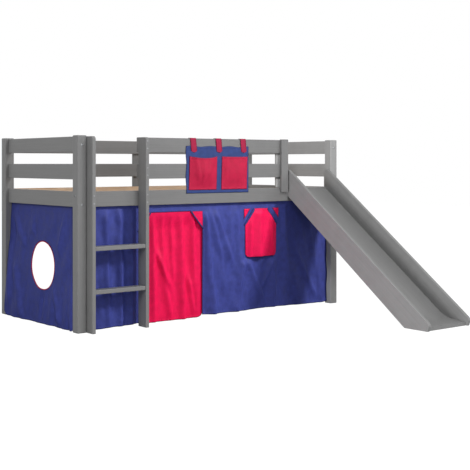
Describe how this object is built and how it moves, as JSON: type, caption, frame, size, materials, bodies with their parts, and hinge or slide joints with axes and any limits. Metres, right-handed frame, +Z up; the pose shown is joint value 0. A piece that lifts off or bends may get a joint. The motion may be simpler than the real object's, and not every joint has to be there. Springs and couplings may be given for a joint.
{
  "type": "loft bed with slide",
  "caption": "Mid-height slatted children's bed with a ladder, a slide with a run-out, play curtains under the bed and a hanging pocket organizer.",
  "frame": {"origin": "on the floor under the middle of the bed and slide together", "axes": "+X along the bed towards the slide end, +Y from the slide's tip towards the back, +Z up"},
  "size_m": [2.066, 2.2, 1.14],
  "materials": {
    "grey_painted_pine": "grey lacquer, semi-matt",
    "bare_pine": "planed, untreated",
    "blue_cloth": "plain woven cotton",
    "red_cloth": "plain woven cotton",
    "hook_tape": "hook and loop tape",
    "zinc_steel": "zinc plated"
  },
  "bodies": {
    "bed": {"back_middle_board": "grey_painted_pine", "back_rail_lower": "grey_painted_pine", "back_rail_middle": "grey_painted_pine", "back_rail_top": "grey_painted_pine", "bolt_back_left_lower": "zinc_steel", "bolt_back_left_upper": "zinc_steel", "bolt_back_right_lower": "zinc_steel", "bolt_back_right_upper": "zinc_steel", "bolt_front_left_lower": "zinc_steel", "bolt_front_left_upper": "zinc_steel", "bolt_front_right_lower": "zinc_steel", "bolt_front_right_upper": "zinc_steel", "bolt_left_end_back": "zinc_steel", "bolt_left_end_front": "zinc_steel", "bolt_right_end_back": "zinc_steel", "bolt_right_end_front": "zinc_steel", "door_corner_trim_left": "red_cloth", "door_corner_trim_right": "red_cloth", "end_curtain": "blue_cloth", "end_hook_tape": "hook_tape", "front_curtain": "blue_cloth", "front_hook_tape": "hook_tape", "front_side_rail": "grey_painted_pine", "guard_inner_board": "grey_painted_pine", "guard_outer_board": "grey_painted_pine", "guard_rail_middle": "grey_painted_pine", "guard_rail_top": "grey_painted_pine", "ladder_rung_lower": "grey_painted_pine", "ladder_rung_upper": "grey_painted_pine", "ladder_stile_left": "grey_painted_pine", "ladder_stile_right": "grey_painted_pine", "left_end_rail_lower": "grey_painted_pine", "left_end_rail_middle": "grey_painted_pine", "left_end_rail_top": "grey_painted_pine", "peep_hole_binding": "red_cloth", "post_back_left": "grey_painted_pine", "post_back_right": "grey_painted_pine", "post_front_left": "grey_painted_pine", "post_front_right": "grey_painted_pine", "right_end_rail_lower": "grey_painted_pine", "right_end_rail_middle": "grey_painted_pine", "right_end_rail_top": "grey_painted_pine", "slat_ledger_back": "bare_pine", "slat_ledger_front": "bare_pine", "slat_roll": "bare_pine", "slide_batten_low": "grey_painted_pine", "slide_batten_top": "grey_painted_pine", "slide_bed": "grey_painted_pine", "slide_side_left": "grey_painted_pine", "slide_side_right": "grey_painted_pine", "window_patch_left": "red_cloth", "window_patch_right": "red_cloth"},
    "organizer": {"organizer_backing": "blue_cloth", "organizer_pocket_left": "red_cloth", "organizer_pocket_right": "red_cloth", "organizer_strap_1": "red_cloth", "organizer_strap_2": "red_cloth", "organizer_strap_3": "red_cloth"},
    "door": {"door_curtain": "red_cloth"},
    "flap": {"window_flap": "red_cloth"}
  },
  "joints": [
    {"name": "organizer_slide", "type": "slide", "parent": "bed", "child": "organizer", "axis": [1, 0, 0], "range_m": [-0.31, 0.27]},
    {"name": "door_swing", "type": "hinge", "parent": "bed", "child": "door", "pos_m": [-0.351, 0.1553, 0.687], "axis": [1, 0, 0], "range_deg": [0, 85]},
    {"name": "flap_lift", "type": "hinge", "parent": "bed", "child": "flap", "pos_m": [0.3775, 0.1515, 0.681], "axis": [-1, 0, 0], "range_deg": [0, 90]}
  ]
}
